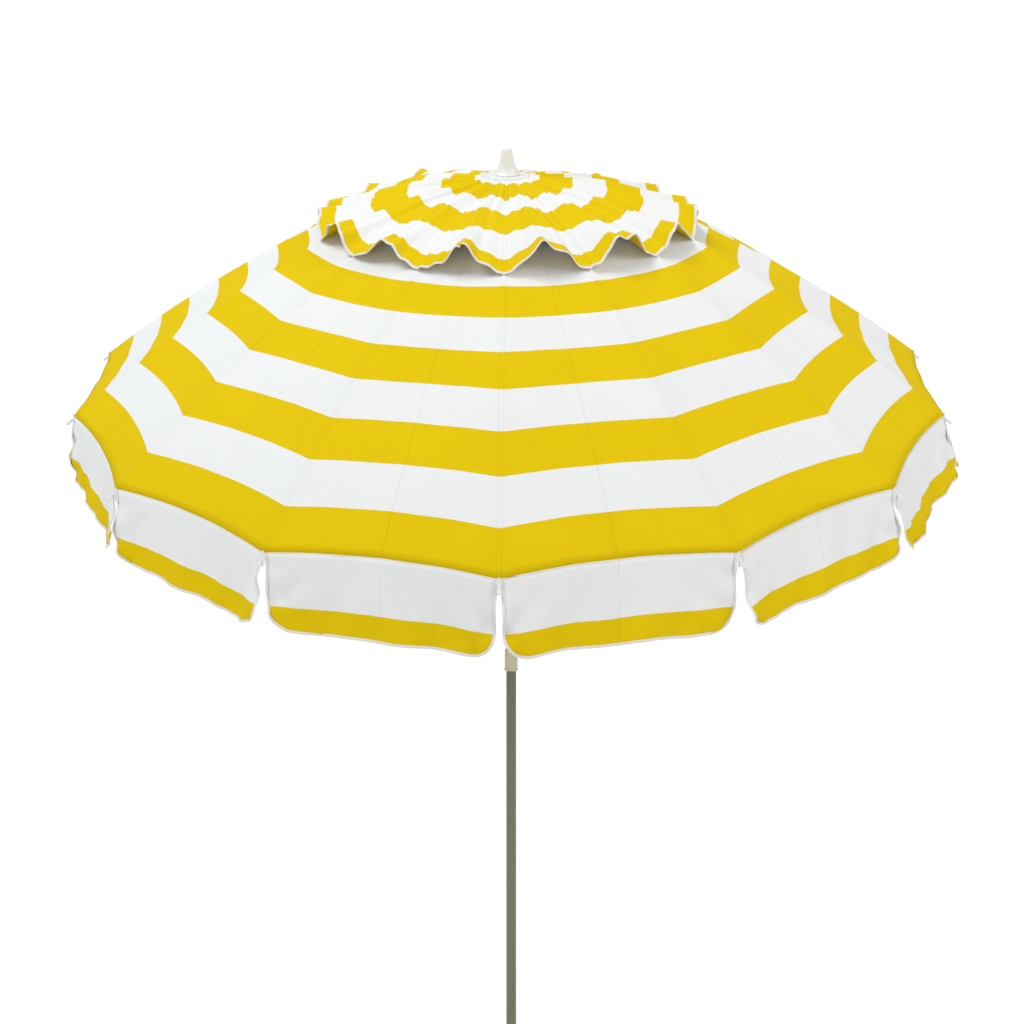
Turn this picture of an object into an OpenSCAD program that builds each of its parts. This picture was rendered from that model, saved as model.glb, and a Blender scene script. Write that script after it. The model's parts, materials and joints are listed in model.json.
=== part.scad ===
// Beach umbrella with a sixteen-rib striped canopy, a hanging valance, a ruffled vent cap
// and a two-part pole with a tilt knuckle. It stands open, tilted towards -Y.
// Units are millimetres. The foot of the pole is at the origin and the lower pole runs up +Z.
// Rib 01 points to -Y and the ribs are numbered counter-clockwise seen from above.

/* [Canopy] */
// Distance from the umbrella's own axis to the canopy corner at each rib
tip_radius = 1040; // [800:10:1300]
// Slope of the canopy where its rounder crown meets its flatter skirt
crown_slope = 24.57; // [18:0.01:32]
// Share of the tip radius taken by the rounder crown
crown_share = 0.4654; // [0.3:0.0001:0.7]
// Radius of the skirt's arc as a multiple of the tip radius
skirt_arc = 3.697; // [2:0.001:8]
// Thickness of the cloth solids
cloth_t = 1.6; // [1:0.1:3]
// Radius of the vent opening in the main canopy under the cap
vent_r = 170; // [100:5:300]
// Height of the valance below the rim
valance_h = 128; // [60:1:200]
// Half of the gap between two valance panels at a rib
valance_gap = 9; // [3:0.5:20]
// Radius of the ruffled cap's hem
cap_r = 451; // [300:1:600]
// Drop of the cap from its centre to its hem
cap_drop = 104; // [60:1:160]

/* [Frame] */
// Radius of a rib's rod
rib_r = 2.5; // [1.5:0.1:4]
// Radius of a stretcher's rod
stretcher_r = 2.2; // [1.5:0.1:4]
// Radius of the wire rings that the ribs and the stretchers hinge on
hinge_ring_r = 30; // [24:1:40]
// Radius from the axis at which a stretcher joins its rib
joint_r = 486; // [350:1:700]
// How far the joint pin hangs below the rib's centre line
joint_drop = 9.5; // [8:0.1:14]
// Length of rib that sticks out past the canopy corner
rib_overhang = 22; // [5:1:40]

/* [Pole] */
// Height of the tilt pivot above the foot of the pole
pivot_h = 1340; // [1000:5:1800]
// Lean of the upper pole at rest
tilt = 30; // [0:1:40]
// Distance from the tilt pivot to the plane of the canopy corners
head_h = 832; // [600:1:1100]
// Outer radius of the lower pole
lower_r = 15; // [12:0.5:20]
// Outer radius of the upper pole
upper_r = 14; // [11:0.5:18]
// Wall of both pole tubes
tube_wall = 1.5; // [1:0.1:3]
// Height of the collar's lower edge above the foot
collar_z = 1167; // [900:1:1500]
// Height of the ribbed collar
collar_h = 62; // [30:1:90]
// Length of inner tube hidden inside the lower pole
inner_len = 360; // [200:10:500]

/* [Hidden] */

$fn = 96;
rib_count = 16;
step = 360 / rib_count;
half = step / 2;
run = 0.08;          // radial clearance of a pin or a sliding tube
side = 0.3;          // clearance at the side of an eye or a slot
neck_r = lower_r - 0.5;

// Canopy profile: a crown arc centred on the axis runs tangentially into a flatter skirt arc.
crown_end = crown_share * tip_radius;
crown_arc = crown_end / sin(crown_slope);
skirt_r = skirt_arc * tip_radius;
skirt_cx = (crown_arc - skirt_r) * sin(crown_slope);
tip_slope = asin((tip_radius - skirt_cx) / skirt_r);
apex_z = head_h + crown_arc * (1 - cos(crown_slope)) + skirt_r * (cos(crown_slope) - cos(tip_slope));
crown_cz = apex_z - crown_arc;
skirt_cz = crown_cz + (crown_arc - skirt_r) * cos(crown_slope);
function slope_at(r) = r <= crown_end ? asin(r / crown_arc) : asin((r - skirt_cx) / skirt_r);
function height_at(r) = r <= crown_end
    ? crown_cz + crown_arc * cos(slope_at(r)) : skirt_cz + skirt_r * cos(slope_at(r));

// Rib line, hinge points and the runner. The rib pivot, the joint and the runner pivot make an
// isosceles triangle, so the runner moves straight along the pole as the ribs fold.
rib_gap = 0.8;       // between the cloth and a rib
rod_off = cloth_t + rib_gap + rib_r;
crown_rod = crown_arc - rod_off;
skirt_rod = skirt_r - rod_off;
rib_pivot = [hinge_ring_r, crown_cz + sqrt(crown_rod * crown_rod - hinge_ring_r * hinge_ring_r)];
joint_slope = asin((joint_r - skirt_cx) / skirt_rod);
joint_foot = [skirt_cx + skirt_rod * sin(joint_slope), skirt_cz + skirt_rod * cos(joint_slope)];
joint_pt = joint_foot - joint_drop * [sin(joint_slope), cos(joint_slope)];
arm = norm(joint_pt - rib_pivot);
runner_pivot = [hinge_ring_r, 2 * joint_pt[1] - rib_pivot[1]];
arm_rise = atan2(joint_pt[1] - runner_pivot[1], joint_pt[0] - runner_pivot[0]);
tip_end_slope = tip_slope + rib_overhang / skirt_rod * 180 / PI;

// Hub sizes
eye_r = 4.6;
eye_t = 3;
wire_r = 1;
tab_len = 16;        // flat tab from a ring pivot to the start of the rod
slot_w = eye_t + 2 * side;
hub_r = 38;
joint_pin_r = 1.5;
joint_eye_t = 2.3;
joint_eye_r = 3.6;
clip_r = 4.2;
clip_drop = 1.4;     // the clip sits below the rod's centre line, clear of the cloth
ear_t = 1.4;
ear_in = joint_eye_t / 2 + side;
tie_slope = 30;      // where a band ties the cloth to the rib
crown_bottom = rib_pivot[1] - 9;
crown_top = apex_z + 6;
cap_arc = (cap_r * cap_r + cap_drop * cap_drop) / (2 * cap_drop);
cap_z = apex_z + 19;
finial_z = cap_z + 0.3;

// Places children in the frame of the tilting head, whose origin is the tilt pivot.
module head() translate([0, 0, pivot_h]) rotate([tilt, 0, 0]) children();

// Direction of rib i about the head's axis
function rib_angle(i) = -90 + step * (i - 1);

module at_rib(i) head() rotate([0, 0, rib_angle(i)]) children();

// Arc of round bar in the radial plane, about a centre at [cx, cz], between two slopes.
module bar_arc(cx, cz, arc_r, from, to, bar_r)
    translate([cx, 0, cz]) rotate([90, 0, 0]) rotate([0, 0, 90 - to])
        rotate_extrude(angle = to - from) translate([arc_r, 0]) circle(bar_r);

// Cylinder across the radial plane, centred at p = [radius, height].
module cross_pin(p, r, w) translate([p[0], 0, p[1]]) rotate([90, 0, 0]) cylinder(r = r, h = w, center = true);

// ---- Pole ----

// Lower pole: aluminium tube with a closed foot, necked where the collar is pressed on
module pole_base_tube() color("#8f8f80")
    rotate_extrude() polygon([[0, 0], [lower_r, 0], [lower_r, collar_z], [neck_r, collar_z],
        [neck_r, collar_z + collar_h - 12], [lower_r - tube_wall, collar_z + collar_h - 12],
        [lower_r - tube_wall, 4], [0, 4]]);

// Ribbed plastic collar pressed over the top of the lower pole; its lip guides the inner tube
module pole_collar() color("#cfc9ad") {
    rings = 7;
    pitch = (collar_h - 10) / rings;
    difference() {
        union() {
            translate([0, 0, collar_z]) cylinder(r = lower_r + 6, h = 5);
            translate([0, 0, collar_z + 4]) cylinder(r = lower_r + 4, h = collar_h - 4);
            for (i = [0 : rings - 1]) translate([0, 0, collar_z + 8 + i * pitch])
                cylinder(r = lower_r + 4.8, h = pitch * 0.55);
        }
        translate([0, 0, collar_z - 1]) cylinder(r = neck_r, h = collar_h - 12 + 1);
        translate([0, 0, collar_z]) cylinder(r = lower_r - tube_wall, h = collar_h + 1);
    }
}

// Inner tube: slides in the lower pole to set the height
module inner_tube() color("#9a9a8c") {
    top = collar_z + collar_h + side + 44;
    outer = lower_r - tube_wall - run;
    translate([0, 0, collar_z + collar_h - inner_len]) difference() {
        cylinder(r = outer, h = top - (collar_z + collar_h - inner_len));
        translate([0, 0, -1]) cylinder(r = outer - 1.3, h = 1000);
    }
}

tongue_w = 13;
knuckle_r = 15;
socket_r = lower_r + 0.6;
bolt_r = 4;

// Lower half of the tilt knuckle: socket for the inner tube and a round-topped tongue
module knuckle_lower() color("#4b4b46") {
    base = collar_z + collar_h + side;
    socket_h = 52;
    difference() {
        union() {
            translate([0, 0, base]) cylinder(r = socket_r, h = socket_h);
            intersection() {
                translate([-tongue_w / 2, -knuckle_r, base + socket_h - 2])
                    cube([tongue_w, 2 * knuckle_r, pivot_h - base - socket_h + 2]);
                translate([0, 0, base]) cylinder(r = socket_r, h = 200);
            }
            translate([0, 0, pivot_h]) rotate([0, 90, 0])
                cylinder(r = knuckle_r - 1, h = tongue_w, center = true);
        }
        translate([0, 0, base - 1]) cylinder(r = lower_r - tube_wall - run, h = 45);
        translate([0, 0, pivot_h]) rotate([0, 90, 0]) cylinder(r = bolt_r, h = 60, center = true);
    }
}

// Bolt and nut across the knuckle
module tilt_bolt() color("#b9b9b4") translate([0, 0, pivot_h]) rotate([0, 90, 0]) {
    ear_out = 16;
    cylinder(r = bolt_r, h = 2 * ear_out + 6, center = true);
    translate([0, 0, ear_out + side]) cylinder(r = 8, h = 2);
    translate([0, 0, ear_out + side + 2]) cylinder(r = 7, h = 2);
    translate([0, 0, -ear_out - side - 5]) cylinder(r = 7.5, h = 5, $fn = 6);
}

// Upper half of the tilt knuckle: fork and socket for the upper pole
module knuckle_upper() color("#4b4b46") head() {
    root = 19;
    ear_in_x = tongue_w / 2 + side;
    ear_out = 16;
    difference() {
        union() {
            for (s = [-1, 1]) {
                translate([s * (ear_in_x + ear_out) / 2, 0, 0]) rotate([0, 90, 0])
                    cylinder(r = 14, h = ear_out - ear_in_x, center = true);
                translate([s * (ear_in_x + ear_out) / 2 - (ear_out - ear_in_x) / 2, -14, 0])
                    cube([ear_out - ear_in_x, 28, root + 4]);
            }
            translate([0, 0, root]) cylinder(r = 18, h = 76);
        }
        rotate([0, 90, 0]) cylinder(r = bolt_r + run, h = 60, center = true);
        translate([0, 0, 45]) cylinder(r = upper_r, h = 60);
    }
}

// Upper pole: tube from the knuckle to the crown
module upper_pole() color("#8f8f80") head() difference() {
    translate([0, 0, 45]) cylinder(r = upper_r, h = rib_pivot[1] - 2 - 45);
    translate([0, 0, 44]) cylinder(r = upper_r - tube_wall, h = rib_pivot[1] + 10);
}

// ---- Hub, runner, ribs and stretchers ----

// Radial slots for the rib or stretcher eyes between the heights z0 and z1
module hub_slots(z0, z1) for (i = [1 : rib_count]) rotate([0, 0, rib_angle(i)])
    translate([hinge_ring_r - eye_r - 1.4, -slot_w / 2, z0]) cube([30, slot_w, z1 - z0]);

module ring_wire(z, r) translate([0, 0, z]) rotate_extrude() translate([hinge_ring_r, 0]) circle(r);

// Crown: slotted hub that the ribs hinge in, on a wire ring, with a stud for the finial
module crown() color("#e8e6da") head() {
    difference() {
        union() {
            translate([0, 0, crown_bottom]) cylinder(r = hub_r, h = crown_top - crown_bottom);
            translate([0, 0, crown_bottom - 34]) cylinder(r = 19, h = 35);
            translate([0, 0, crown_top - 1]) cylinder(r = 20, h = cap_z - cloth_t - 1 - crown_top + 1);
            translate([0, 0, crown_top]) cylinder(r = 4, h = finial_z + 20 - crown_top);
        }
        translate([0, 0, crown_bottom - 35]) cylinder(r = upper_r, h = rib_pivot[1] - 2 - crown_bottom + 35);
        hub_slots(crown_bottom - 1, rib_pivot[1] + eye_r + 1.4);
        ring_wire(rib_pivot[1], wire_r);
    }
    ring_wire(rib_pivot[1], wire_r);
}

// Finial: tapered plastic cone screwed over the cap
module finial() color("#f3f1e6") head() translate([0, 0, finial_z]) difference() {
    rotate_extrude() polygon([[0, 0], [30, 0], [30, 2.5], [26, 6.5], [20.8, 16], [17.5, 29],
        [14.5, 43], [12.3, 53.5], [10.4, 57], [6, 58.8], [0, 59]]);
    translate([0, 0, -1]) cylinder(r = 4, h = 24);
}

// Runner: slotted sleeve that slides on the upper pole and carries the stretchers
module runner() color("#e8e6da") head() {
    z = runner_pivot[1];
    difference() {
        union() {
            translate([0, 0, z - eye_r - 6]) cylinder(r = hub_r, h = eye_r + 15);
            translate([0, 0, z - 70]) cylinder(r = 18.5, h = 66);
            translate([0, 0, z - 70]) cylinder(r = 21, h = 6);
        }
        translate([0, 0, z - 71]) cylinder(r = upper_r + side, h = 100);
        hub_slots(z - eye_r - 1.4, z + 12);
        ring_wire(z, wire_r);
    }
    ring_wire(z, wire_r);
}

// Rib: eye and tab at the crown, bent round rod, clip with the joint pin, cloth tie, ball tip
module rib_at(i) color("#f0efe9") at_rib(i) {
    tab_slope = asin((hinge_ring_r + tab_len - 2) / crown_rod);
    mid_slope = asin((hinge_ring_r + tab_len / 2) / crown_rod);
    tie_pt = [skirt_cx + skirt_rod * sin(tie_slope), skirt_cz + skirt_rod * cos(tie_slope)];
    end_pt = [skirt_cx + skirt_rod * sin(tip_end_slope), skirt_cz + skirt_rod * cos(tip_end_slope)];
    difference() {
        union() {
            cross_pin(rib_pivot, eye_r, eye_t);
            translate([rib_pivot[0], 0, rib_pivot[1]]) rotate([0, mid_slope, 0])
                translate([0, -eye_t / 2, -3]) cube([tab_len + 6, eye_t, 6]);
            bar_arc(0, crown_cz, crown_rod, tab_slope, crown_slope, rib_r);
            bar_arc(skirt_cx, skirt_cz, skirt_rod, crown_slope, tie_slope, rib_r);
            bar_arc(skirt_cx, skirt_cz, skirt_rod, tie_slope, tip_end_slope, rib_r);
            translate([tie_pt[0], 0, tie_pt[1]]) rotate([0, 90 + tie_slope, 0])
                cylinder(r = rib_r + 0.3, h = 9, center = true);
            translate([end_pt[0], 0, end_pt[1]]) rotate([0, 90 + tip_end_slope, 0]) sphere(r = rib_r + 1);
            translate([joint_foot[0], 0, joint_foot[1]]) rotate([0, joint_slope, 0])
                translate([0, 0, -clip_drop]) rotate([0, 90, 0]) cylinder(r = clip_r, h = 16, center = true);
            for (s = [-1, 1]) translate([0, s * (ear_in + ear_t / 2), 0]) {
                cross_pin(joint_pt, clip_r, ear_t);
                translate([joint_foot[0], 0, joint_foot[1]]) rotate([0, joint_slope, 0])
                    translate([-clip_r, -ear_t / 2, -joint_drop])
                        cube([2 * clip_r, ear_t, joint_drop - clip_drop]);
            }
            cross_pin(joint_pt, joint_pin_r, 2 * (ear_in + ear_t) + 1.6);
        }
        cross_pin(rib_pivot, wire_r + run, 10);
    }
}

// Stretcher: round rod with a flat eye at the runner and a thinner one at the rib's joint pin
module stretcher_at(i) color("#f0efe9") at_rib(i)
    translate([runner_pivot[0], 0, runner_pivot[1]]) rotate([0, -arm_rise, 0]) difference() {
        union() {
            cross_pin([0, 0], eye_r, eye_t);
            translate([0, -eye_t / 2, -3]) cube([tab_len + 6, eye_t, 6]);
            translate([tab_len, 0, 0]) rotate([0, 90, 0]) cylinder(r = stretcher_r, h = arm - tab_len - 9);
            translate([arm - 14, -joint_eye_t / 2, -2.6]) cube([14, joint_eye_t, 5.2]);
            cross_pin([arm, 0], joint_eye_r, joint_eye_t);
        }
        cross_pin([0, 0], wire_r + run, 10);
        cross_pin([arm, 0], joint_pin_r + run, 10);
    }

// ---- Cloth ----

panel_cut = cos(half);
seam = 0.03;         // degrees that neighbouring panels overlap at a seam
crown_steps = 6;
skirt_steps = 6;
profile_r = concat(
    [for (i = [0 : crown_steps - 1]) vent_r + (crown_end - vent_r) * i / crown_steps],
    [for (i = [0 : skirt_steps]) crown_end + (tip_radius - crown_end) * i / skirt_steps]);
function outer_pt(r) = [r * panel_cut, height_at(r)];
function inner_pt(r) = outer_pt(r) - cloth_t * [sin(slope_at(r)), cos(slope_at(r))];

// Main canopy: sixteen panels, each straight across from rib to rib and curved from vent to rim
module canopy() color("#e9c90f") head() for (i = [1 : rib_count])
    rotate([0, 0, rib_angle(i) + half]) intersection() {
        rotate([90, 0, 0]) linear_extrude(height = tip_radius, center = true)
            polygon(concat([for (r = profile_r) outer_pt(r)],
                [for (i = [len(profile_r) - 1 : -1 : 0]) inner_pt(profile_r[i])]));
        translate([0, 0, head_h - 20]) linear_extrude(height = apex_z - head_h + 40)
            polygon([[0, 0], [1.1 * tip_radius, -1.1 * tip_radius * tan(half + seam)],
                [1.1 * tip_radius, 1.1 * tip_radius * tan(half + seam)]]);
    }

function cap_h(r) = cap_z - cap_arc + sqrt(cap_arc * cap_arc - r * r);

// Vent cap: shallow dome over the vent opening, clamped under the finial
module vent_cap() color("#f4f4f2") head() {
    n = 8;
    hole = 4.5;
    rs = [for (i = [0 : n]) hole + (cap_r - hole) * i / n];
    rotate_extrude() polygon(concat([for (r = rs) [r, cap_h(r)]],
        [for (i = [n : -1 : 0]) [rs[i] - cloth_t * rs[i] / cap_arc, cap_h(rs[i]) - cloth_t]]));
}

// World position of a point given in the head's frame
function tilted(p) = [p[0], p[1] * cos(tilt) - p[2] * sin(tilt),
    pivot_h + p[1] * sin(tilt) + p[2] * cos(tilt)];
function rim_pt(a, r) = tilted([r * cos(a), r * sin(a), head_h]);

// Valance at rib i: the half panels either side of the rib, hanging straight down from the rim
module valance_at(i) color("#f4f4f2") for (s = [-1, 1]) {
    corner = rim_pt(rib_angle(i), tip_radius - 2);
    middle = rim_pt(rib_angle(i) + s * half, (tip_radius - 2) * panel_cut);
    d = middle - corner;
    span = norm([d[0], d[1]]);
    dz = d[2] / span;
    round_r = 48;
    drop = 4;
    translate(corner) rotate([0, 0, atan2(d[1], d[0])]) rotate([90, 0, 0])
        linear_extrude(height = cloth_t, center = true) polygon(concat(
            [[span - 0.6, -drop + dz * span], [valance_gap, -drop + dz * valance_gap]],
            [for (a = [0 : 15 : 90]) let (x = valance_gap + round_r * (1 - cos(a)))
                [x, dz * x - valance_h + round_r * (1 - sin(a))]],
            [[span - 0.6, dz * span - valance_h]]));
}

// ---- Numbered copies ----

module rib_01() rib_at(1);
module rib_02() rib_at(2);
module rib_03() rib_at(3);
module rib_04() rib_at(4);
module rib_05() rib_at(5);
module rib_06() rib_at(6);
module rib_07() rib_at(7);
module rib_08() rib_at(8);
module rib_09() rib_at(9);
module rib_10() rib_at(10);
module rib_11() rib_at(11);
module rib_12() rib_at(12);
module rib_13() rib_at(13);
module rib_14() rib_at(14);
module rib_15() rib_at(15);
module rib_16() rib_at(16);

module stretcher_01() stretcher_at(1);
module stretcher_02() stretcher_at(2);
module stretcher_03() stretcher_at(3);
module stretcher_04() stretcher_at(4);
module stretcher_05() stretcher_at(5);
module stretcher_06() stretcher_at(6);
module stretcher_07() stretcher_at(7);
module stretcher_08() stretcher_at(8);
module stretcher_09() stretcher_at(9);
module stretcher_10() stretcher_at(10);
module stretcher_11() stretcher_at(11);
module stretcher_12() stretcher_at(12);
module stretcher_13() stretcher_at(13);
module stretcher_14() stretcher_at(14);
module stretcher_15() stretcher_at(15);
module stretcher_16() stretcher_at(16);

module valance_01() valance_at(1);
module valance_02() valance_at(2);
module valance_03() valance_at(3);
module valance_04() valance_at(4);
module valance_05() valance_at(5);
module valance_06() valance_at(6);
module valance_07() valance_at(7);
module valance_08() valance_at(8);
module valance_09() valance_at(9);
module valance_10() valance_at(10);
module valance_11() valance_at(11);
module valance_12() valance_at(12);
module valance_13() valance_at(13);
module valance_14() valance_at(14);
module valance_15() valance_at(15);
module valance_16() valance_at(16);

pole_base_tube();
pole_collar();
inner_tube();
knuckle_lower();
tilt_bolt();
knuckle_upper();
upper_pole();
crown();
finial();
canopy();
vent_cap();
runner();
rib_01();
rib_02();
rib_03();
rib_04();
rib_05();
rib_06();
rib_07();
rib_08();
rib_09();
rib_10();
rib_11();
rib_12();
rib_13();
rib_14();
rib_15();
rib_16();
stretcher_01();
stretcher_02();
stretcher_03();
stretcher_04();
stretcher_05();
stretcher_06();
stretcher_07();
stretcher_08();
stretcher_09();
stretcher_10();
stretcher_11();
stretcher_12();
stretcher_13();
stretcher_14();
stretcher_15();
stretcher_16();
valance_01();
valance_02();
valance_03();
valance_04();
valance_05();
valance_06();
valance_07();
valance_08();
valance_09();
valance_10();
valance_11();
valance_12();
valance_13();
valance_14();
valance_15();
valance_16();
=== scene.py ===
"""Looks for the beach umbrella.

Sixteen striped gores, a hanging valance, a ruffled vent cap, and the materials of the pole and the frame.
Lengths are in metres.
"""

import json
import math

import bpy
import numpy as np
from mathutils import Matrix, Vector

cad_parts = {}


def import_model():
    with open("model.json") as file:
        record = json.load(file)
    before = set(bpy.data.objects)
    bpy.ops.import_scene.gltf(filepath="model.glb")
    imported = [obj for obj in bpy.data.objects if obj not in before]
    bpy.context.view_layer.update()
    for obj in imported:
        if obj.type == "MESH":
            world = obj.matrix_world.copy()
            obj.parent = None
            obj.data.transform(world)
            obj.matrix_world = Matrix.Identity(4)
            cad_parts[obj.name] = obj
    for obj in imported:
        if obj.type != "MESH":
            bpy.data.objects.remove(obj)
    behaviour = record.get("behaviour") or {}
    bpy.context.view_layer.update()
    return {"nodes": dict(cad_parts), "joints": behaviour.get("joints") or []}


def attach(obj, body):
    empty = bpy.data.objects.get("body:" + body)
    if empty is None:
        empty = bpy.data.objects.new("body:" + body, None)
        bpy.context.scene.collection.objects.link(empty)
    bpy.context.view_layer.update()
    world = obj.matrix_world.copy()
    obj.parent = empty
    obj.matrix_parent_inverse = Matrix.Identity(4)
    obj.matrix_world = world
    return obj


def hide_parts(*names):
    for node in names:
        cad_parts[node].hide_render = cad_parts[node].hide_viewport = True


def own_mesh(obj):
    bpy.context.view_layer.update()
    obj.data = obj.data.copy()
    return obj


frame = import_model()
joints = {j["name"]: j for j in frame["joints"]}

# ---- The head's own frame: origin at the tilt pivot, z up the umbrella's axis ----

RIBS = 16
STEP = 2 * math.pi / RIBS
HALF = STEP / 2
TILT = -math.radians(joints["tilt"]["range_deg"][0])
PIVOT = np.array(joints["tilt"]["pos_m"])
COS_T, SIN_T = math.cos(TILT), math.sin(TILT)


def world(p):
    """Points in the head's frame as points in the row frame."""
    x, y, z = np.moveaxis(np.asarray(p, float), -1, 0)
    return np.stack([x, y * COS_T - z * SIN_T, y * SIN_T + z * COS_T], -1) + PIVOT


def in_head(p):
    """A point in the row frame as a point in the head's frame."""
    x, y, z = np.array(p) - PIVOT
    return np.array([x, y * COS_T + z * SIN_T, -y * SIN_T + z * COS_T])


def rib_azimuth(k):
    """Rib 1 points at the viewer, and the others follow it anticlockwise from above."""
    return -math.pi / 2 + STEP * (k - 1)


def panel_of(k, sgn):
    """The panel after rib k is panel k; the one before it is the previous rib's."""
    return k if sgn > 0 else (k - 2) % RIBS + 1


def joint_name(k):
    return "fold" if k == 1 else f"rib_{k:02d}_fold"


HINGE_INSET = 0.002      # the valance's hinge is this far inside the canopy's corner
corner = in_head(joints["valance_01_hang"]["pos_m"])
RADIUS = math.hypot(corner[0], corner[1]) + HINGE_INSET   # canopy corner from the axis
RIM_Z = corner[2]

# Canopy profile along a rib, as in the CAD: a crown arc, then a flatter skirt arc
CROWN_SLOPE = math.radians(24.57)
CROWN_END = 0.4654 * RADIUS
CROWN_ARC = CROWN_END / math.sin(CROWN_SLOPE)
SKIRT_ARC = 3.697 * RADIUS
SKIRT_CX = (CROWN_ARC - SKIRT_ARC) * math.sin(CROWN_SLOPE)
TIP_SLOPE = math.asin((RADIUS - SKIRT_CX) / SKIRT_ARC)
CROWN_RISE = CROWN_ARC * (1 - math.cos(CROWN_SLOPE))
SKIRT_RISE = SKIRT_ARC * (math.cos(CROWN_SLOPE) - math.cos(TIP_SLOPE))
APEX_Z = RIM_Z + CROWN_RISE + SKIRT_RISE
CROWN_CZ = APEX_Z - CROWN_ARC
SKIRT_CZ = CROWN_CZ + (CROWN_ARC - SKIRT_ARC) * math.cos(CROWN_SLOPE)
VENT = 0.170             # radius of the opening under the cap
CLOTH = 0.0007           # thickness of the cloth


def slope_at(r):
    return np.where(r <= CROWN_END, np.arcsin(r / CROWN_ARC), np.arcsin((r - SKIRT_CX) / SKIRT_ARC))


def height_at(r):
    s = slope_at(r)
    return np.where(r <= CROWN_END, CROWN_CZ + CROWN_ARC * np.cos(s), SKIRT_CZ + SKIRT_ARC * np.cos(s))


def rand(i, j=0):
    """A fixed number from -1 to 1 for each pair of whole numbers."""
    x = math.sin(i * 12.9898 + j * 78.233 + 4.1) * 43758.5453
    return 2 * (x - math.floor(x)) - 1


def smooth(t):
    """0 below 0, 1 above 1 and an even S between them."""
    t = np.clip(t, 0, 1)
    return t * t * (3 - 2 * t)


def swell(turns):
    """A sine wave that repeats at each whole turn."""
    return math.sin(2 * math.pi * turns)


# ---- Materials ----


def material(name):
    m = bpy.data.materials.new(name)
    m.use_nodes = True
    return m, m.node_tree, m.node_tree.nodes["Principled BSDF"]


def calc(tree, kind, a, b=None):
    n = tree.nodes.new("ShaderNodeMath")
    n.operation = kind
    for socket, v in zip(n.inputs, (a, b)):
        if v is None:
            continue
        if isinstance(v, (int, float)):
            socket.default_value = v
        else:
            tree.links.new(v, socket)
    return n.outputs[0]


def mixed(tree, factor, a, b):
    n = tree.nodes.new("ShaderNodeMix")
    n.data_type = "RGBA"
    tree.links.new(factor, n.inputs[0])
    for socket, v in ((n.inputs[6], a), (n.inputs[7], b)):
        if isinstance(v, tuple):
            socket.default_value = (*v, 1)
        else:
            tree.links.new(v, socket)
    return n.outputs[2]


def noise(tree, scale, detail, stretch=(1, 1, 1), source="Object"):
    coords = tree.nodes.new("ShaderNodeTexCoord")
    mapping = tree.nodes.new("ShaderNodeMapping")
    mapping.inputs["Scale"].default_value = stretch
    tree.links.new(coords.outputs[source], mapping.inputs[0])
    n = tree.nodes.new("ShaderNodeTexNoise")
    n.inputs["Scale"].default_value = scale
    n.inputs["Detail"].default_value = detail
    tree.links.new(mapping.outputs[0], n.inputs["Vector"])
    return n.outputs[0]


def bumped(tree, shader, height, distance, strength):
    b = tree.nodes.new("ShaderNodeBump")
    b.inputs["Distance"].default_value = distance
    b.inputs["Strength"].default_value = strength
    tree.links.new(height, b.inputs["Height"])
    tree.links.new(b.outputs[0], shader.inputs["Normal"])


THREAD = 0.0012          # width of one warp or weft thread
STITCH = 0.0034          # length of one stitch with its gap
STITCH_SHARE = 0.66      # share of that length that is thread
STITCH_HALF = 0.0006     # half the width of a row of stitches
SEAM_STITCH = 0.0038     # distance of the rows from a seam
TAPE_STITCH = 0.0036     # distance of the row from a binding's outer edge
SLUB_FINE, SLUB_LONG = 420, 22      # uneven threads: their noise across and along them
CLOUD = 7.0              # scale of the faint cloudiness in the dye
DARKER, PALER = 0.93, 1.05
ROUGH_SPREAD = 0.06


def fabric(name, colour, stitch_at, roughness=0.85):
    """Plain woven cloth. Its UVs are metres, U across from a seam and V along it; stitches run at stitch_at."""
    m, tree, shader = material(name)
    uv = tree.nodes.new("ShaderNodeTexCoord")
    parts = tree.nodes.new("ShaderNodeSeparateXYZ")
    tree.links.new(uv.outputs["UV"], parts.inputs[0])
    u, v = parts.outputs[0], parts.outputs[1]
    turns = 2 * math.pi / (2 * THREAD)
    warp = calc(tree, "SINE", calc(tree, "MULTIPLY", u, turns))
    weft = calc(tree, "SINE", calc(tree, "MULTIPLY", v, turns))
    weave = calc(tree, "MULTIPLY", warp, weft)
    off = calc(tree, "ABSOLUTE", calc(tree, "SUBTRACT", calc(tree, "ABSOLUTE", u), stitch_at))
    near = calc(tree, "LESS_THAN", off, STITCH_HALF)
    dash = calc(tree, "LESS_THAN", calc(tree, "FRACT", calc(tree, "DIVIDE", v, STITCH)), STITCH_SHARE)
    stitches = calc(tree, "MULTIPLY", near, dash)
    cloudy = noise(tree, CLOUD, 4.0)
    slub_v = noise(tree, 1.0, 2.0, (SLUB_FINE, SLUB_LONG, 1), "UV")
    slub_u = noise(tree, 1.0, 2.0, (SLUB_LONG, SLUB_FINE, 1), "UV")
    dark = tuple(c * DARKER for c in colour)
    pale = tuple(min(1.0, c * PALER + 0.004) for c in colour)
    tone = calc(tree, "ADD", calc(tree, "MULTIPLY", cloudy, 0.5),
                calc(tree, "MULTIPLY", calc(tree, "ADD", slub_v, slub_u), 0.25))
    cloth = mixed(tree, tone, dark, pale)
    tree.links.new(mixed(tree, stitches, cloth, dark), shader.inputs["Base Color"])
    rough = calc(tree, "ADD", calc(tree, "MULTIPLY", slub_v, 2 * ROUGH_SPREAD), roughness - ROUGH_SPREAD)
    tree.links.new(rough, shader.inputs["Roughness"])
    shader.inputs["Specular IOR Level"].default_value = 0.06
    height = calc(tree, "ADD", calc(tree, "MULTIPLY", weave, 0.35),
                  calc(tree, "ADD", stitches, calc(tree, "MULTIPLY", slub_u, 0.5)))
    bumped(tree, shader, height, 0.0003, 0.7)
    return m


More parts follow.
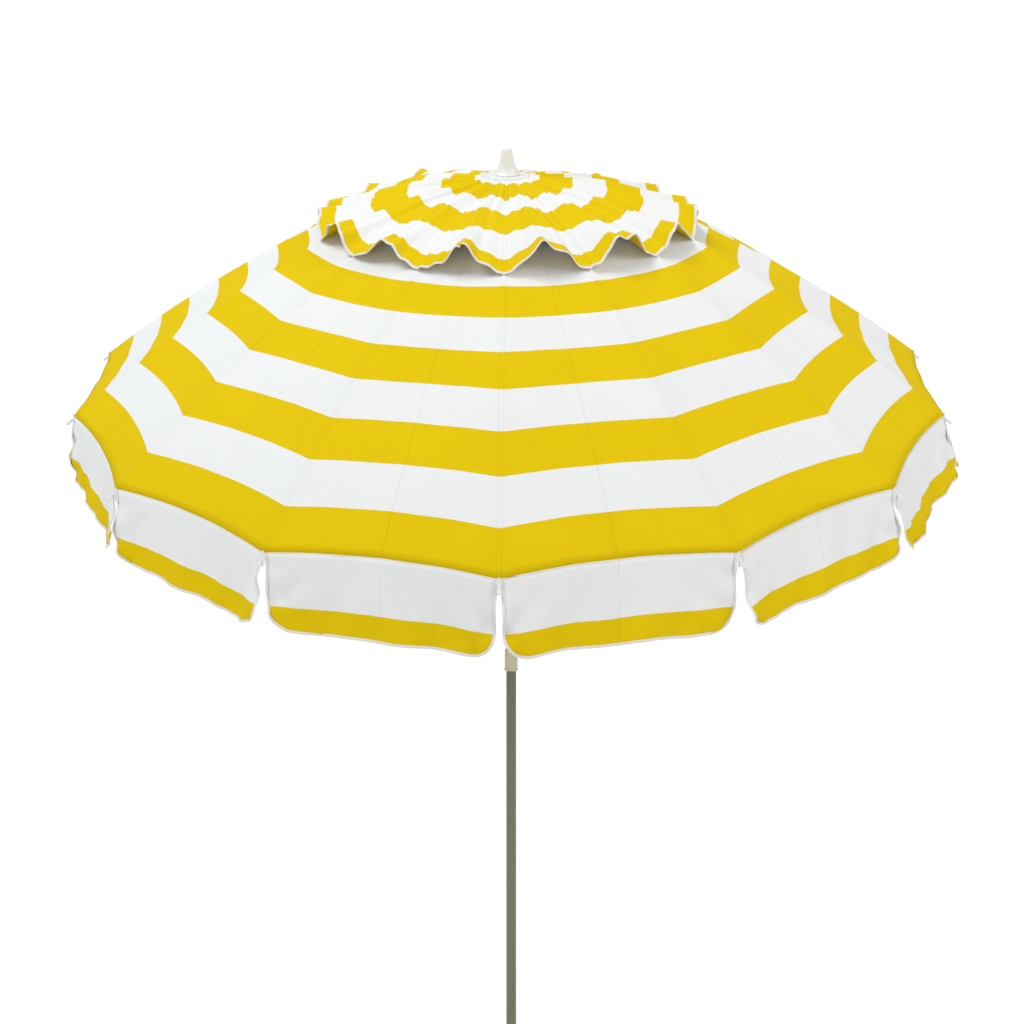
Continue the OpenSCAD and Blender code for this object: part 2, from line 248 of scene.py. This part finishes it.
def moulded(name, colour, roughness, grain, depth, metallic=0.0, stretch=(1, 1, 1),
            spread=ROUGH_SPREAD, darker=0.9):
    """A hard surface: colour and roughness that vary along its own grain, and a fine bump."""
    m, tree, shader = material(name)
    fine = noise(tree, grain, 5.0, stretch)
    wide = noise(tree, 9.0, 3.0)
    tone = calc(tree, "ADD", calc(tree, "MULTIPLY", fine, 0.6), calc(tree, "MULTIPLY", wide, 0.4))
    dark = tuple(c * darker for c in colour)
    pale = tuple(min(1, c * 1.06) for c in colour)
    tree.links.new(mixed(tree, tone, dark, pale), shader.inputs["Base Color"])
    rough = calc(tree, "ADD", calc(tree, "MULTIPLY", fine, 2 * spread), roughness - spread)
    tree.links.new(rough, shader.inputs["Roughness"])
    shader.inputs["Metallic"].default_value = metallic
    bumped(tree, shader, fine, depth, 0.6)
    return m


yellow = fabric("cloth_yellow", (0.75, 0.537, 0.001), SEAM_STITCH)
white = fabric("cloth_white", (0.815, 0.825, 0.825), SEAM_STITCH)
cream = fabric("binding_cream", (0.80, 0.765, 0.72), TAPE_STITCH, roughness=0.75)
pole = moulded("pole_metal", (0.205, 0.20, 0.140), roughness=0.40, grain=160, depth=0.00005,
               metallic=0.75, stretch=(1, 1, 0.03), darker=0.82)
ivory = moulded("ivory_plastic", (0.62, 0.61, 0.48), roughness=0.48, grain=240, depth=0.00005)
glossy = moulded("white_plastic", (0.87, 0.865, 0.805), roughness=0.34, grain=90, depth=0.00004, spread=0.04)
knuckle = moulded("knuckle_plastic", (0.10, 0.10, 0.095), roughness=0.55, grain=700, depth=0.00012,
                  spread=0.08, darker=0.75)
steel = moulded("bolt_steel", (0.55, 0.55, 0.56), roughness=0.33, grain=60, depth=0.00003,
                metallic=0.9, stretch=(1, 6, 6), darker=0.85)
rod = moulded("rib_fibreglass", (0.80, 0.80, 0.78), roughness=0.36, grain=120, depth=0.00004, darker=0.93)

NODE_LOOKS = {
    "pole_base_tube": pole, "upper_pole": pole, "inner_tube": pole, "pole_collar": ivory, "crown": glossy,
    "runner": glossy, "finial": glossy, "knuckle_lower": knuckle, "knuckle_upper": knuckle, "tilt_bolt": steel,
}
for node, obj in frame["nodes"].items():
    look = NODE_LOOKS.get(node) or (rod if node.startswith(("rib_", "stretcher_")) else white)
    if not obj.material_slots:
        obj.data.materials.append(look)
    for slot in obj.material_slots:
        slot.material = look

# ---- Mesh helpers ----


def piece(name, verts, faces, uvs, mats, face_mats, thickness=CLOTH):
    """A cloth mesh from points in the row frame, with UVs in metres."""
    mesh = bpy.data.meshes.new(name)
    mesh.from_pydata([tuple(v) for v in verts], [], faces)
    for m in mats:
        mesh.materials.append(m)
    mesh.polygons.foreach_set("material_index", face_mats)
    mesh.polygons.foreach_set("use_smooth", [True] * len(faces))
    layer = mesh.uv_layers.new(name="UVMap")
    order = np.zeros(len(mesh.loops), np.int32)
    mesh.loops.foreach_get("vertex_index", order)
    layer.data.foreach_set("uv", np.asarray(uvs, np.float32)[order].ravel())
    mesh.update()
    obj = bpy.data.objects.new(name, mesh)
    bpy.context.scene.collection.objects.link(obj)
    if thickness:
        shell = obj.modifiers.new("thickness", "SOLIDIFY")
        shell.thickness, shell.offset = thickness, -1
    return obj


def grid_faces(rows, cols, start=0, closed=False):
    wide = cols if closed else cols - 1
    return [
        (start + i * cols + j, start + i * cols + (j + 1) % cols,
         start + (i + 1) * cols + (j + 1) % cols, start + (i + 1) * cols + j)
        for i in range(rows - 1) for j in range(wide)
    ]


def turned_over(faces):
    return [(f[0], f[3], f[2], f[1]) for f in faces]


def unit(v):
    return v / np.maximum(np.linalg.norm(v, axis=-1, keepdims=True), 1e-12)


def piping(edge, inward, normal, width, half):
    """Rings of points for a folded strip of tape sewn over a cloth edge, with its UVs."""
    shape = [(-0.0007, 0), (0.0, half), (0.6 * width, half), (width, 0.5 * half),
             (width, -0.5 * half), (0.6 * width, -half), (0.0, -half)]
    along = np.concatenate([[0], np.cumsum(np.linalg.norm(np.diff(edge, axis=0), axis=1))])
    verts, uvs = [], []
    for p, i, n, s in zip(edge, inward, normal, along):
        for a, b in shape:
            verts.append(p + i * a + n * b)
            uvs.append((max(a, 0), s))
    return verts, uvs, len(shape)


def follow(obj, body, k, keep, *nodes, slot="cloth_white"):
    """obj rides a body with a mesh of its own, and the given CAD nodes are hidden. k and keep are not used."""
    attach(obj, body)
    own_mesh(obj)
    if nodes:
        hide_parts(*nodes)


# ---- Main canopy: a gore on each rib, from mid-panel to mid-panel ----

# Radii of the stripes' edges, from the vent to the rim
BANDS = RADIUS * np.array([
    VENT / RADIUS, 0.236, 0.3125, 0.389, 0.4654, 0.5417, 0.6183, 0.6939, 0.7719, 0.8484, 0.9277, 1.0])
HIDDEN_BAND = 2          # it lies under the cap's hem and is white, like its neighbours
BAND_ROWS = 5
NEAR = [0.0, 0.0014, 0.0032, 0.0065]     # distances from the rib's seam, then even steps to mid-panel
FAR = 9
END_COLUMNS = (0.009, 0.0015)            # narrow columns keep mid-panel's edge from being shaded dark
BOW = 0.015              # the rim rises this much between two ribs
BOW_FROM = 0.35          # and it starts to rise at this share of the radius
SAG = 0.007              # the cloth sinks this much between the ribs
SEAM_LIFT, SEAM_HALF, SEAM_FALL = 0.0009, 0.0020, 0.0045    # the doubled cloth of a rib's seam
FOLD_LIFT, FOLD_FALL = 0.00006, 0.0085                      # the pressed fold at mid-panel
GATHER = 0.13            # share of its width meant for the cloth when the umbrella is closed; follow() keeps the full width


def bow_at(r):
    return BOW * np.clip((r / RADIUS - BOW_FROM) / (1 - BOW_FROM), 0, 1) ** 1.3


def panel_point(mid, r, u, panel):
    """Head-frame point of the panel whose middle is at azimuth mid; u is -1 and 1 at its ribs."""
    flat = 1 - u * u
    low = r - bow_at(r) * flat * math.cos(slope_at(r))
    e = np.array([math.cos(mid), math.sin(mid), 0])
    t = np.array([-math.sin(mid), math.cos(mid), 0])
    s = float(slope_at(low))
    n = math.sin(s) * e + math.cos(s) * np.array([0, 0, 1.0])
    p = low * math.cos(HALF) * e + low * math.sin(HALF) * u * t + np.array([0, 0, float(height_at(low))])
    share = r / RADIUS
    depth = SAG * math.sin(math.pi * min(1, share * 0.8)) * (flat + 0.05 * (1 - abs(u)))
    # Broad waves across the panel, faint ones along it and small puckers beside the seams
    ripple = 0.0011 * share ** 3 * math.sin(3.2 * math.pi * u + 3 * rand(panel)) * flat
    ripple += 0.0006 * swell(r / 0.19 + 0.4 * u + rand(panel, 2)) * flat
    ripple += 0.0010 * share ** 6 * swell(r / 0.05 + 1.6 * abs(u)) * abs(u) ** 3 * flat
    return p + n * (ripple - depth)


def band_rows(bands, count):
    """Row radii and, for each strip between rows, the band that it is in."""
    rows, kinds = [bands[0]], []
    for b, (r0, r1) in enumerate(zip(bands[:-1], bands[1:])):
        for i in range(1, count + 1):
            rows.append(r0 + (r1 - r0) * i / count)
            kinds.append(b)
    return rows, kinds


def gore(k):
    a = rib_azimuth(k)
    rows, kinds = band_rows(BANDS, BAND_ROWS)
    verts, uvs = [], []
    arc = 0.0
    for i, r in enumerate(rows):
        if i:
            arc += (r - rows[i - 1]) / math.cos(float(slope_at(r)))
        wide = r * math.sin(HALF)
        even = wide - END_COLUMNS[0] - NEAR[-1]
        steps = NEAR + [NEAR[-1] + even * j / FAR for j in range(1, FAR + 1)] + [wide - END_COLUMNS[1], wide]
        line = [(-1, d) for d in reversed(steps[1:])] + [(1, d) for d in steps]
        s = float(slope_at(r))
        up = np.array([math.sin(s) * math.cos(a), math.sin(s) * math.sin(a), math.cos(s)])
        for sgn, d in line:
            u = -sgn * (1 - d / wide)
            p = panel_point(a + sgn * HALF, r, u, panel_of(k, sgn))
            seam = SEAM_LIFT * (1 - smooth((d - SEAM_HALF) / SEAM_FALL))
            pressed = FOLD_LIFT * (1 - smooth((wide - d) / FOLD_FALL))
            verts.append(world(p + up * (seam + pressed)))
            uvs.append((sgn * d, arc))
    cols = 2 * (len(NEAR) + FAR + len(END_COLUMNS)) - 1
    faces = turned_over(grid_faces(len(rows), cols))
    tones = [0 if b % 2 == 0 and b != HIDDEN_BAND else 1 for b in kinds for _ in range(cols - 1)]
    obj = piece(f"canopy_gore_{k:02d}", verts, faces, uvs, [yellow, white], tones)
    follow(obj, f"rib_{k:02d}", k, GATHER, "canopy", slot="cloth_yellow")


for k in range(1, RIBS + 1):
    gore(k)

# ---- Valance: the two half panels beside each rib hang from the rim and flare at the sides ----

DROP = 0.130             # height of the valance at a rib
EXTRA = 0.009            # and this much more at mid-panel
ROUND = 0.041            # radius of its lower corners, and height of its yellow band
TOP_ROWS, LOW_ROWS, COLS = 10, 9, 16
LAST_Q, CROWD = 0.992, 1.15              # the columns crowd towards the rib, and the last one is narrow
SLIT, SLIT_OPEN, SLIT_SPREAD = 0.0026, 0.0018, 0.0022       # half the gap at a rib, and how it widens
SLIT_HEIGHT = 0.022
SIDE_FLARE, RIGHT_FLARE = 0.20, 0.08     # run outwards for each metre down; the right side flares more
SWAY, BILLOW, CRUMPLE, CRIMP = 0.0050, 0.0026, 0.0036, 0.0013    # sizes of its waves, broad ones first
RUFFLE, PRESSED, HANG = 0.0015, 0.0002, 0.0040
HEM_WAVE = 0.0011        # its lower edge rises and falls by this
VALANCE_TAPE = (0.0042, 0.0010)          # width and half thickness of its binding


def slit_at(h):
    return SLIT + SLIT_OPEN * float(smooth(h / SLIT_HEIGHT)) + SLIT_SPREAD * h / DROP


def valance_point(k, sgn, q, row):
    """Row-frame point, outward normal and UV of one half panel; q is 0 at the rib's edge and 1 at mid-panel."""
    mid = rib_azimuth(k) + sgn * HALF
    panel = panel_of(k, sgn)
    wide = RADIUS * math.sin(HALF)
    if row <= TOP_ROWS:
        drop, edge = (DROP - ROUND) * row / TOP_ROWS, 0.0
    else:
        t = math.pi / 2 * (row - TOP_ROWS) / LOW_ROWS
        drop, edge = DROP - ROUND + ROUND * math.sin(t), ROUND * (1 - math.cos(t))
    start = slit_at(drop) + edge
    d = start + (wide - start) * q
    u = -sgn * (1 - d / wide)
    h = drop * (1 + EXTRA / DROP * (1 - u * u)) + HEM_WAVE * swell(1.4 * u + rand(panel, 5)) * drop / DROP
    top = world(panel_point(mid, RADIUS, u, panel)) - np.array([0, 0, 0.0010])
    t = world([-math.sin(mid), math.cos(mid), 0]) - PIVOT
    out = np.array([t[1], -t[0], 0])
    out = out / np.linalg.norm(out)
    low = h / DROP
    side = 3 + (u > 0)
    crumple = swell(2.3 * abs(u) - 2.0 * low + rand(panel, side))
    crimp = swell(5.2 * abs(u) + 2.9 * low + rand(panel, side + 20))
    push = SWAY * low ** 1.4 * swell(0.85 * u + rand(panel, 1))
    push += BILLOW * low * swell(2.1 * u + 0.6 * low + rand(panel, 2))
    push += CRUMPLE * abs(u) ** 3 * (crumple - 0.35 * crumple * crumple) * smooth(3 * low)
    push += CRIMP * abs(u) ** 4 * crimp * smooth(4 * low)
    push += RUFFLE * swell(5.3 * u + 1.3 * low + rand(panel, 7)) * smooth(2 * low) * (0.5 + u * u)
    push -= PRESSED * (1 - abs(u)) ** 12 * smooth(2 * low)          # the pressed fold at mid-panel
    push += HANG * low * rand(panel, 9)
    push += (SIDE_FLARE * abs(math.cos(mid)) + RIGHT_FLARE * math.cos(mid)) * h
    return top - np.array([0, 0, h]) + out * (push - 0.0006), out, (sgn * d, h)


def valance(k):
    verts, uvs, faces, tones = [], [], [], []
    tape, tape_uvs, tape_faces = [], [], []
    rows = TOP_ROWS + LOW_ROWS + 1
    for sgn in (-1, 1):
        start = len(verts)
        points = np.zeros((rows, COLS + 1, 3))
        normals = np.zeros((rows, COLS + 1, 3))
        for i in range(rows):
            for j in range(COLS + 1):
                q = 1.0 if j == COLS else LAST_Q * (j / (COLS - 1)) ** CROWD
                p, n, uv = valance_point(k, sgn, q, i)
                points[i, j], normals[i, j] = p, n
                verts.append(p)
                uvs.append(uv)
        made = grid_faces(rows, COLS + 1, start)
        faces += made if sgn < 0 else turned_over(made)
        tones += [0 if i < TOP_ROWS else 1 for i in range(rows - 1) for _ in range(COLS)]
        # The binding goes down the slit, round the corner and along the lower edge
        edge = np.concatenate([points[:, 0], points[-1, 1:]])
        normal = np.concatenate([normals[:, 0], normals[-1, 1:]])
        along = unit(np.gradient(edge, axis=0))
        inward = unit(np.cross(normal, along)) * sgn
        if np.dot(inward[3], points[2, COLS // 2] - edge[3]) < 0:
            inward = -inward
        first = len(tape)
        v, t, ring = piping(edge, inward, unit(np.cross(along, inward)), *VALANCE_TAPE)
        tape += v
        tape_uvs += t
        tape_faces += grid_faces(len(edge), ring, first, closed=True)
        tape_faces.append(tuple(range(first + ring - 1, first - 1, -1)))
        tape_faces.append(tuple(range(first + (len(edge) - 1) * ring, first + len(edge) * ring)))
    cloth = piece(f"valance_cloth_{k:02d}", verts, faces, uvs, [white, yellow], tones)
    follow(cloth, f"valance_{k:02d}", k, 0.7 * GATHER, f"valance_{k:02d}")
    binding = piece(f"valance_binding_{k:02d}", tape, tape_faces, tape_uvs, [cream], [0] * len(tape_faces), 0)
    follow(binding, f"valance_{k:02d}", k, 0.7 * GATHER)


TAB_HALF, TAB_THICK = 0.0032, 0.0011


def corner_tab(k):
    """The little white tab that ties the cloth to the rib's end, between two valance panels."""
    a = rib_azimuth(k)
    top = world([RADIUS * math.cos(a), RADIUS * math.sin(a), RIM_Z]) + np.array([0, 0, -0.001])
    t = np.array(joints[joint_name(k)]["axis"])
    side = unit(np.array([t[0], t[1], 0]))
    out = np.array([side[1], -side[0], 0])
    verts, uvs = [], []
    shape = [(-1, -1), (0, -1.25), (1, -1), (1, 1), (0, 1.25), (-1, 1)]
    # Heights, and the share of its full width that it has there
    levels = [(0.004, 0.6), (0.001, 1.15), (-0.006, 1.3), (-0.013, 1.1), (-0.019, 0.85), (-0.023, 0.4)]
    for z, w in levels:
        for x, y in shape:
            across = side * x * TAB_HALF * w
            verts.append(top + across + out * (y * TAB_THICK + 0.0008 * math.sin(z * 300)) + np.array([0, 0, z]))
            uvs.append((x * TAB_HALF, z))
    faces = grid_faces(len(levels), len(shape), 0, closed=True)
    faces += [tuple(range(len(shape))), tuple(reversed(range(len(verts) - len(shape), len(verts))))]
    obj = piece(f"corner_tab_{k:02d}", verts, faces, uvs, [white], [0] * len(faces), 0)
    soft = obj.modifiers.new("soft", "SUBSURF")
    soft.levels = soft.render_levels = 1
    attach(obj, f"valance_{k:02d}")


for k in range(1, RIBS + 1):
    valance(k)
    corner_tab(k)

# ---- Vent cap: it lies on the ribs, arches up between them, and its hem flares ----

CAP_TOP = APEX_Z + 0.019
CAP_BANDS = np.array([0.044, 0.077, 0.157, 0.237, 0.323, 0.410, 0.453])     # radii of its stripes' edges
CAP_HEM = CAP_BANDS[-1]
CAP_ROWS = 6             # rows of faces in each stripe
CAP_CLEAR = 0.0045       # it lies this far above the canopy
DOME, CONE, CONE_FROM = 0.55 / 1.03, 0.13, 0.16
SKIRT_FROM = 0.315       # radius where the hem starts to flare
ARCH, FLARE, DIP = 0.016, 0.038, 0.010
CREASE, CREASE_HALF = 0.0026, 0.0040     # the cap is tied down along each rib
HEM_FOLD, HEM_RUFFLE = 0.0055, 0.0035
CAP_TAPE = (0.0060, 0.0012)              # width and half thickness of its binding
CAP_NEAR, CAP_FAR, CAP_LAST = [0.0, 0.012, 0.03, 0.06], 13, 0.985    # columns, as shares of half a sector
APEX_DISC = 0.054        # radius of the cap's centre, which covers the sectors' inner ends
APEX_HOLE = 0.0048
DISC_COLS, DISC_ROWS = 192, 10
DISC_LIFT = 0.0009
CAP_GATHER = 0.32        # share of its width meant for a sector when the umbrella is closed; follow() keeps the full width


def cap_line(r):
    """Height of the cap above a rib: it leaves the apex and comes down on to the canopy."""
    rest = float(height_at(np.array(r))) + CAP_CLEAR
    dome = CAP_TOP - DOME * r * r - CONE * r * float(smooth(r / CONE_FROM))
    return max(rest, dome) + 0.0015 * math.exp(-((rest - dome) / 0.004) ** 2)


def cap_point(azimuth, r):
    turn = (azimuth - rib_azimuth(1)) / STEP
    panel = math.floor(turn)
    x = turn - panel                                   # 0 and 1 at the ribs
    seam = min(x, 1 - x) * STEP * r                    # distance from the nearest seam
    x += 0.05 * rand(panel, 11) * math.sin(math.pi * x)
    v = 0.5 - 0.5 * math.cos(2 * math.pi * x)          # 0 at the ribs and 1 half way
    t = max(0.0, min(1.0, (r - SKIRT_FROM) / (CAP_HEM - SKIRT_FROM)))
    arch = ARCH * float(smooth(r / 0.24)) * v * (1 + 0.25 * rand(panel, 12)) * (1 - 0.6 * t)
    flare = FLARE * (1 + 0.30 * rand(panel, 13)) * t ** 1.4 * (0.75 * v + 0.25 * v * v)
    full = min(1.0, r / 0.14)
    # Fine gathers all round, uneven because their phase drifts
    fine = 0.0016 * math.sin(48 * azimuth + 1.3 * math.sin(5 * azimuth))
    fine += 0.0009 * math.sin(80 * azimuth + 2.1 * math.sin(3 * azimuth))
    fine += 0.0005 * math.sin(112 * azimuth + 1.7 * math.sin(7 * azimuth))
    fine *= full * (1 + 0.6 * t)
    hem = HEM_FOLD * t ** 2 * swell(2.5 * x + rand(panel, 14)) * v
    hem += HEM_RUFFLE * t ** 2 * swell(4.2 * x + rand(panel, 15)) * math.sqrt(v)
    # The gathers pull the stripes in and out too
    pull = math.sin(32 * azimuth + 2 * math.sin(3 * azimuth)) + 0.7 * math.sin(48 * azimuth + 0.8)
    pulled = r + 0.0016 * full * pull - DIP * t * v
    crease = CREASE * math.exp(-(seam / CREASE_HALF) ** 2) * full
    z = cap_line(r) + arch + flare + fine + hem - crease
    return np.array([pulled * math.cos(azimuth), pulled * math.sin(azimuth), z])


def cap_grid(angles, rows, lift=0.0):
    return np.array([[world(cap_point(a, r) + np.array([0, 0, lift])) for a in angles] for r in rows])


def cap_sector(k):
    a = rib_azimuth(k)
    rows, kinds = band_rows(CAP_BANDS, CAP_ROWS)
    even = CAP_LAST - CAP_NEAR[-1]
    side = CAP_NEAR + [CAP_NEAR[-1] + even * i / CAP_FAR for i in range(1, CAP_FAR + 1)] + [1.0]
    angles = [a - HALF * s for s in reversed(side[1:])] + [a + HALF * s for s in side]
    points = cap_grid(angles, rows)
    uvs = [((b - a) * r, r) for r in rows for b in angles]
    cols = len(angles)
    faces = turned_over(grid_faces(len(rows), cols))
    tones = [1 if b % 2 == 0 else 0 for b in kinds for _ in range(cols - 1)]
    cloth = piece(f"cap_sector_{k:02d}", points.reshape(-1, 3), faces, uvs, [yellow, white], tones)
    follow(cloth, f"rib_{k:02d}", k, CAP_GATHER, "vent_cap", slot="cloth_yellow")
    edge, inner = points[-1], points[-2]
    along = unit(np.gradient(edge, axis=0))
    inward = unit(inner - edge)
    inward = unit(inward - along * np.sum(along * inward, -1, keepdims=True))
    v, t, ring = piping(edge, inward, unit(np.cross(inward, along)), *CAP_TAPE)
    faces = grid_faces(cols, ring, 0, closed=True)
    faces += [tuple(range(ring)), tuple(reversed(range(len(v) - ring, len(v))))]
    binding = piece(f"cap_binding_{k:02d}", v, faces, t, [cream], [0] * len(faces), 0)
    follow(binding, f"rib_{k:02d}", k, CAP_GATHER)


def cap_centre():
    angles = [2 * math.pi * i / DISC_COLS for i in range(DISC_COLS)]
    rows = [APEX_HOLE + (APEX_DISC - APEX_HOLE) * i / DISC_ROWS for i in range(DISC_ROWS + 1)]
    points = cap_grid(angles, rows, DISC_LIFT)
    uvs = [(0.05 + b * r, r) for r in rows for b in angles]      # away from U = 0, where stitches would show
    faces = turned_over(grid_faces(len(rows), len(angles), 0, closed=True))
    disc = piece("cap_centre", points.reshape(-1, 3), faces, uvs, [white], [0] * len(faces))
    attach(disc, "head")
    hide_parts("vent_cap")


for k in range(1, RIBS + 1):
    cap_sector(k)
cap_centre()

# ---- Stage, light and camera ----

FLOOR_HALF = 30.0
FLOOR_GLOW = 0.36        # light that the floor adds under the umbrella
SEEN_WHITE = 1.05        # strength of the floor and the sky as the camera sees them
SKY_LIGHT = 0.42         # strength of the sky as a light


def plain_stage():
    """A plain white floor. The camera sees it evenly lit, as in a studio, and sees through it from below."""
    mesh = bpy.data.meshes.new("floor")
    s = FLOOR_HALF
    mesh.from_pydata([(-s, -s, 0), (s, -s, 0), (s, s, 0), (-s, s, 0)], [], [(0, 1, 2, 3)])
    floor = bpy.data.objects.new("floor", mesh)
    bpy.context.scene.collection.objects.link(floor)
    m, tree, shader = material("floor")
    nodes, links = tree.nodes, tree.links
    shader.inputs["Base Color"].default_value = (0.80, 0.80, 0.79, 1)
    shader.inputs["Roughness"].default_value = 0.9
    shader.inputs["Emission Color"].default_value = (1, 1, 1, 1)
    shader.inputs["Emission Strength"].default_value = FLOOR_GLOW
    path, mix = nodes.new("ShaderNodeLightPath"), nodes.new("ShaderNodeMixShader")
    seen, out = nodes.new("ShaderNodeEmission"), nodes["Material Output"]
    seen.inputs["Strength"].default_value = SEEN_WHITE
    links.new(path.outputs["Is Camera Ray"], mix.inputs[0])
    links.new(shader.outputs[0], mix.inputs[1])
    links.new(seen.outputs[0], mix.inputs[2])
    under, clear = nodes.new("ShaderNodeNewGeometry"), nodes.new("ShaderNodeBsdfTransparent")
    sides = nodes.new("ShaderNodeMixShader")
    links.new(under.outputs["Backfacing"], sides.inputs[0])
    links.new(mix.outputs[0], sides.inputs[1])
    links.new(clear.outputs[0], sides.inputs[2])
    links.new(sides.outputs[0], out.inputs["Surface"])
    mesh.materials.append(m)


def sky():
    w = bpy.data.worlds.new("studio")
    bpy.context.scene.world = w
    w.use_nodes = True
    nodes, links = w.node_tree.nodes, w.node_tree.links
    nodes.clear()
    seen, lit = nodes.new("ShaderNodeBackground"), nodes.new("ShaderNodeBackground")
    seen.inputs["Color"].default_value = (1, 1, 1, 1)
    seen.inputs["Strength"].default_value = SEEN_WHITE
    lit.inputs["Color"].default_value = (0.98, 0.99, 1, 1)
    lit.inputs["Strength"].default_value = SKY_LIGHT
    path, mix = nodes.new("ShaderNodeLightPath"), nodes.new("ShaderNodeMixShader")
    out = nodes.new("ShaderNodeOutputWorld")
    links.new(path.outputs["Is Camera Ray"], mix.inputs[0])
    links.new(lit.outputs[0], mix.inputs[1])
    links.new(seen.outputs[0], mix.inputs[2])
    links.new(mix.outputs[0], out.inputs[0])


def area_light(name, place, target, size, power, colour):
    light = bpy.data.lights.new(name, "AREA")
    light.shape, light.size, light.energy, light.color = "DISK", size, power, colour
    obj = bpy.data.objects.new(name, light)
    obj.location = place
    obj.rotation_mode = "QUATERNION"
    obj.rotation_quaternion = (Vector(target) - Vector(place)).to_track_quat("-Z", "Y")
    bpy.context.scene.collection.objects.link(obj)


plain_stage()
sky()
area_light("key", place=(-2.3, -2.8, 6.2), target=(0, -0.5, 2.0), size=2.8, power=172, colour=(0.98, 1.0, 1.0))
area_light("fill", place=(4.2, -3.0, 4.4), target=(0, -0.4, 2.0), size=3.0, power=92, colour=(1.0, 0.975, 0.94))
area_light("back", place=(1.5, 5.0, 3.4), target=(0, 0, 1.9), size=3.4, power=110, colour=(1.0, 1.0, 1.0))

# The camera was fitted to the photograph: level, and turned a little to the left
CAMERA_AT = (0.0417, -2.7676, 1.648)
CAMERA_TURN = 0.814      # degrees
camera = bpy.data.cameras.new("camera")
camera.sensor_width = 36.0
camera.lens = 31.98
camera.clip_end = 200
eye = bpy.data.objects.new("camera", camera)
eye.location = CAMERA_AT
eye.rotation_euler = (math.radians(90), 0, math.radians(CAMERA_TURN))
bpy.context.scene.collection.objects.link(eye)
bpy.context.scene.camera = eye
bpy.context.scene.view_settings.view_transform = "Standard"
